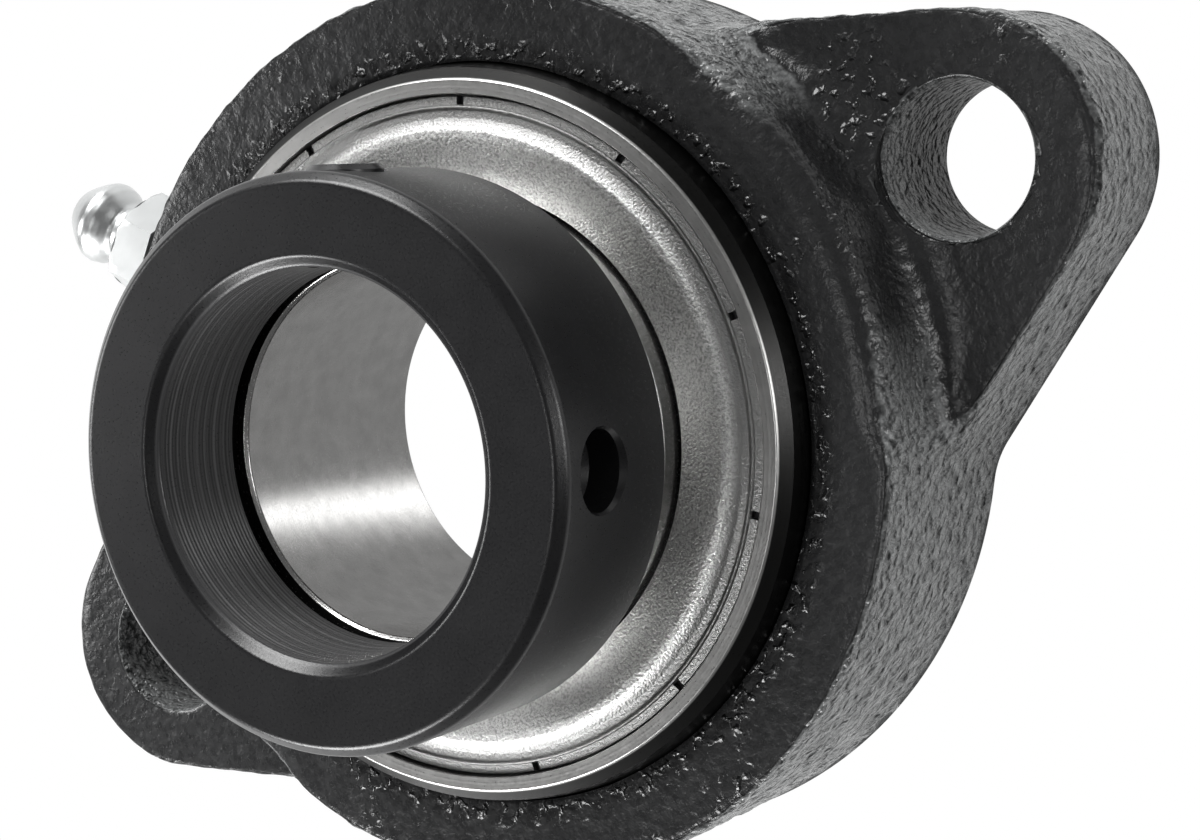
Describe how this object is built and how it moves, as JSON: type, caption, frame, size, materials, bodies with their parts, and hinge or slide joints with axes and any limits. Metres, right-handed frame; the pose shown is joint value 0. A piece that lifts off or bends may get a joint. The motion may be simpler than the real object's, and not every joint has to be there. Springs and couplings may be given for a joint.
{
  "type": "mounted bearing",
  "caption": "Flange bearing with a cast housing, bolt lugs, a swivelling shielded ball-bearing insert, an eccentric locking collar with a set screw, and a grease nipple.",
  "frame": {"origin": "centre of the two bolt holes on the mounting face, which is also on the shaft's line", "axes": "+Z along the shaft, from the mounting face towards the locking collar; +X along the line through the bolt holes"},
  "size_m": [0.114, 0.0764, 0.0446],
  "materials": {
    "cast_iron": "satin paint on a sand casting",
    "ring_steel": "ground",
    "ball_steel": "polished",
    "pressed_steel": "matt, cold-rolled",
    "nitrile": "matt",
    "black_oxide": "black oxide, satin",
    "zinc_plate": "zinc plated"
  },
  "bodies": {
    "housing": {"housing": "cast_iron", "nipple_body": "zinc_plate"},
    "outer_ring": {"outer_ring": "ring_steel", "front_shield": "pressed_steel", "rear_shield": "pressed_steel", "front_seal": "nitrile", "rear_seal": "nitrile"},
    "inner_ring": {"inner_ring": "ring_steel"},
    "cage": {"cage_front": "pressed_steel", "cage_rear": "pressed_steel", "cage_rivets": "pressed_steel", "ball_1": "ball_steel", "ball_2": "ball_steel", "ball_3": "ball_steel", "ball_4": "ball_steel", "ball_5": "ball_steel", "ball_6": "ball_steel", "ball_7": "ball_steel", "ball_8": "ball_steel", "ball_9": "ball_steel"},
    "locking_collar": {"locking_collar": "black_oxide"},
    "set_screw": {"collar_set_screw": "black_oxide"},
    "check_ball": {"nipple_check_ball": "ball_steel", "nipple_spring": "ball_steel"}
  },
  "joints": [
    {"name": "insert_swivel", "type": "hinge", "parent": "housing", "child": "outer_ring", "pos_m": [0, 0, 0.0165], "axis": [1, 0, 0], "range_deg": [-3, 3]},
    {"name": "shaft_spin", "type": "hinge", "parent": "outer_ring", "child": "inner_ring", "pos_m": [0, 0, 0.0165], "axis": [0, 0, 1], "continuous": true},
    {"name": "cage_spin", "type": "hinge", "parent": "outer_ring", "child": "cage", "pos_m": [0, 0, 0.0165], "axis": [0, 0, 1], "continuous": true},
    {"name": "collar_turn", "type": "hinge", "parent": "inner_ring", "child": "locking_collar", "pos_m": [0.0008, 0, 0.031], "axis": [0, 0, 1], "continuous": true},
    {"name": "set_screw_travel", "type": "slide", "parent": "locking_collar", "child": "set_screw", "axis": [-0.4848, -0.8746, 0], "range_m": [-0.003, 0.0008]},
    {"name": "check_ball_lift", "type": "slide", "parent": "housing", "child": "check_ball", "axis": [0.6157, -0.788, 0], "range_m": [0, 0.0006], "stiffness_N_per_m": 400, "springref_m": -0.0004}
  ],
  "couplings": [
    {"joint": "cage_spin", "follows": "shaft_spin", "ratio": 0.39647}
  ]
}
